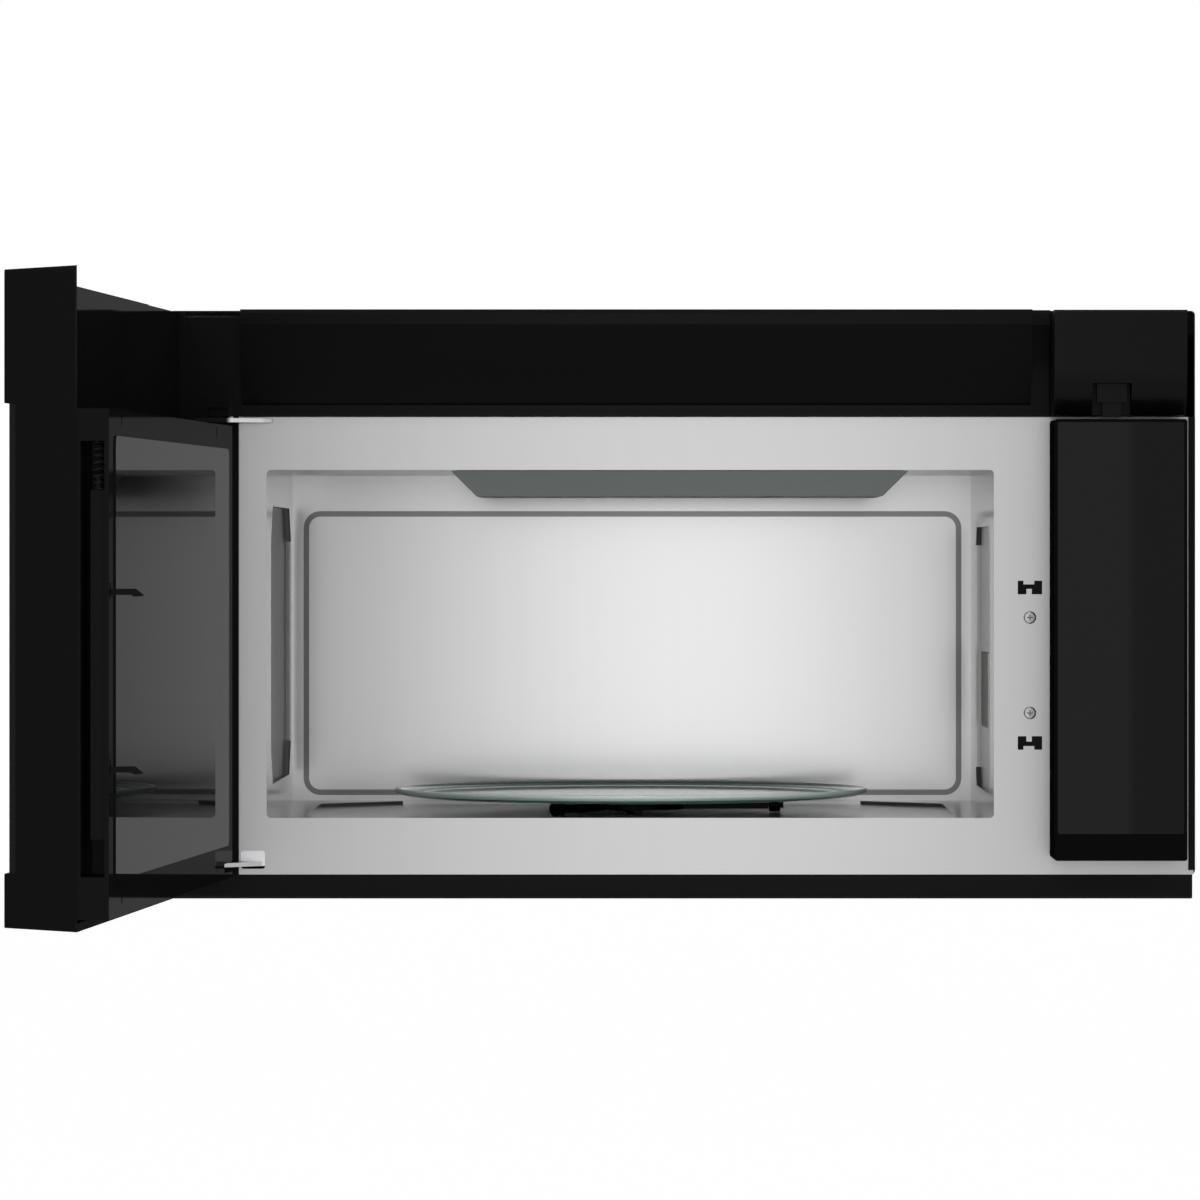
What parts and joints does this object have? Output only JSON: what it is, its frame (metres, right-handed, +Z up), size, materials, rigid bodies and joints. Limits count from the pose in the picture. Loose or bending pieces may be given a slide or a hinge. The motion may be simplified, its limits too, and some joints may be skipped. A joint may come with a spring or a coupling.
{
  "type": "over-the-range microwave oven",
  "caption": "Over-the-range microwave oven shown with its side-hinged door open on the oven cavity and round glass turntable, with a vent cowl across its top.",
  "frame": {"origin": "centre of the flat rear face that hangs against the wall", "axes": "+X to the right as seen by the user, +Y out of the rear face towards the wall, +Z up"},
  "size_m": [0.8211, 1.0478, 0.4461],
  "materials": {
    "black_paint": "satin",
    "dark_paint": "satin",
    "zinc_sheet": "dull zinc",
    "cavity_enamel": "satin light grey",
    "cover_grey": "satin",
    "mica": "matt",
    "motor_steel": "satin",
    "bright_steel": "bright zinc",
    "black_plastic": "fine satin",
    "gloss_black": "gloss",
    "gloss_panel": "high gloss",
    "black_glass": "gloss, backed in black",
    "clear_glass": "clear",
    "pale_plastic": "matt",
    "screen_steel": "satin",
    "circuit_board": "satin",
    "charcoal": "matt",
    "aluminium_mesh": "satin"
  },
  "bodies": {
    "chassis": {"outer_case": "black_paint", "top_bracket": "zinc_sheet", "rear_plate": "zinc_sheet", "base_pan": "dark_paint", "front_frame": "cavity_enamel", "cavity_shell": "cavity_enamel", "ceiling_cover": "cover_grey", "waveguide_cover": "mica", "turntable_motor": "motor_steel", "upper_hinge": "bright_steel", "lower_hinge": "bright_steel", "latch_bracket": "pale_plastic", "interlock_switches": "pale_plastic", "frame_screws": "bright_steel", "vent_cowl": "black_plastic", "filter_housing": "black_plastic", "charcoal_filter": "charcoal", "exhaust_collar": "zinc_sheet", "blower_housing": "zinc_sheet", "blower_motor": "motor_steel", "lamp_sockets": "black_plastic", "cooktop_bulbs": "clear_glass", "control_housing": "black_plastic", "control_glass": "black_glass", "display_module": "black_glass", "control_board": "circuit_board", "waveguide": "zinc_sheet", "magnetron": "motor_steel", "transformer": "motor_steel", "capacitor": "motor_steel", "fan_shroud": "zinc_sheet", "fan_motor": "motor_steel", "mains_filter_board": "circuit_board", "cord_bushing": "black_plastic", "thermal_cutouts": "pale_plastic", "cavity_lamp": "zinc_sheet", "lamp_lens_left": "clear_glass", "lamp_lens_right": "clear_glass"},
    "door": {"door_shell": "black_plastic", "door_glass": "black_glass", "door_inner_frame": "gloss_black", "door_inner_panel": "gloss_panel", "door_screen": "screen_steel", "hinge_blocks": "black_plastic", "latch_spring": "bright_steel"},
    "latch": {"latch_bar": "black_plastic"},
    "turntable": {"drive_hub": "pale_plastic", "roller_support": "black_plastic"},
    "tray": {"glass_tray": "clear_glass"},
    "roller_a": {"roller_1": "pale_plastic"},
    "roller_b": {"roller_2": "pale_plastic"},
    "roller_c": {"roller_3": "pale_plastic"},
    "blower": {"blower_wheels": "black_plastic"},
    "fan": {"fan_blade": "black_plastic"},
    "damper": {"damper_flap": "zinc_sheet"},
    "filter_left": {"grease_filter_left": "aluminium_mesh"},
    "filter_right": {"grease_filter_right": "aluminium_mesh"},
    "cover": {"vent_cover": "black_plastic"},
    "cover_latch": {"vent_cover_latch": "black_plastic"}
  },
  "joints": [
    {"name": "door_hinge", "type": "hinge", "parent": "chassis", "child": "door", "pos_m": [-0.3572, -0.422, 0], "axis": [0, 0, 1], "range_deg": [0, 94]},
    {"name": "latch_slide", "type": "slide", "parent": "door", "child": "latch", "axis": [0, 0, 1], "range_m": [0, 0.002], "stiffness_N_per_m": 400, "springref_m": -0.003, "deforming": ["latch_spring"]},
    {"name": "turntable_spin", "type": "hinge", "parent": "chassis", "child": "turntable", "pos_m": [-0.0383, -0.205, -0.1602], "axis": [0, 0, 1], "continuous": true},
    {"name": "tray_lift", "type": "slide", "parent": "turntable", "child": "tray", "axis": [0, 0, 1], "range_m": [0, 0.02]},
    {"name": "roller_a_spin", "type": "hinge", "parent": "turntable", "child": "roller_a", "pos_m": [0.0717, -0.205, -0.1544], "axis": [1, 0, 0], "continuous": true},
    {"name": "roller_b_spin", "type": "hinge", "parent": "turntable", "child": "roller_b", "pos_m": [-0.0933, -0.10974, -0.1544], "axis": [-0.5, 0.866, 0], "continuous": true},
    {"name": "roller_c_spin", "type": "hinge", "parent": "turntable", "child": "roller_c", "pos_m": [-0.0933, -0.30026, -0.1544], "axis": [-0.5, -0.866, 0], "continuous": true},
    {"name": "blower_spin", "type": "hinge", "parent": "chassis", "child": "blower", "pos_m": [0, -0.07375, 0.1575], "axis": [1, 0, 0], "continuous": true},
    {"name": "fan_spin", "type": "hinge", "parent": "chassis", "child": "fan", "pos_m": [0.3065, -0.15, 0.0075], "axis": [0, 1, 0], "continuous": true},
    {"name": "damper_swing", "type": "hinge", "parent": "chassis", "child": "damper", "pos_m": [0, -0.0365, 0.2215], "axis": [-1, 0, 0], "range_deg": [0, 75]},
    {"name": "filter_left_drop", "type": "hinge", "parent": "chassis", "child": "filter_left", "pos_m": [-0.33, -0.185, -0.2166], "axis": [0, 1, 0], "range_deg": [0, 40]},
    {"name": "filter_right_drop", "type": "hinge", "parent": "chassis", "child": "filter_right", "pos_m": [0.33, -0.185, -0.2166], "axis": [0, -1, 0], "range_deg": [0, 40]},
    {"name": "vent_cover_tilt", "type": "hinge", "parent": "chassis", "child": "cover", "pos_m": [0.3205, -0.398, 0.2095], "axis": [-1, 0, 0], "range_deg": [0, 25]},
    {"name": "cover_latch_press", "type": "slide", "parent": "cover", "child": "cover_latch", "axis": [0, 1, 0], "range_m": [0, 0.003], "stiffness_N_per_m": 300, "springref_m": -0.002}
  ],
  "couplings": [
    {"joint": "roller_a_spin", "follows": "turntable_spin", "ratio": -20},
    {"joint": "roller_b_spin", "follows": "turntable_spin", "ratio": -20},
    {"joint": "roller_c_spin", "follows": "turntable_spin", "ratio": -20}
  ]
}
